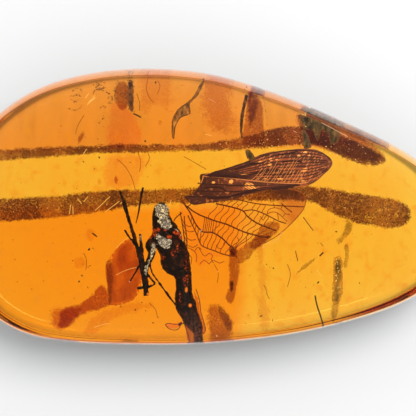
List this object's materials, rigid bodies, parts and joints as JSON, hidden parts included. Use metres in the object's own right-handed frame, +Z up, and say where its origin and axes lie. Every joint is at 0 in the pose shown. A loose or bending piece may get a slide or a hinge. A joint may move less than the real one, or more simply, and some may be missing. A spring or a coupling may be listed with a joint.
{
  "type": "insect in amber",
  "caption": "Polished oval amber pebble lying on its flat back, with a long-bodied winged insect, its detached wings and scraps of bark sealed inside.",
  "frame": {"origin": "middle of the stone's bounding box, on the plane that its flat back rests on", "axes": "+X along the stone's length towards its narrow end, +Y across it towards the wings' side, +Z up through its domed face"},
  "size_m": [0.0604, 0.0332, 0.0105],
  "materials": {
    "amber": "clear, polished",
    "chitin": "dark and glossy, with silvery patches",
    "dark_wing": "dark, densely veined",
    "clear_wing": "thin and clear, with dark veins",
    "bark": "rough, brown",
    "flow_dust": "smoky and gritty, half clear"
  },
  "bodies": {
    "root": {"amber_upper_half": "amber", "amber_lower_half": "amber", "insect_body": "chitin", "insect_loose_leg": "chitin", "insect_forewing": "dark_wing", "insect_hindwing": "clear_wing", "bark_flake": "bark", "bark_splinter": "bark", "bark_sliver": "bark", "curled_flake": "bark", "leaf_scrap": "bark", "edge_flake": "bark", "far_flow_seam": "flow_dust", "near_flow_seam": "flow_dust"}
  },
  "joints": []
}
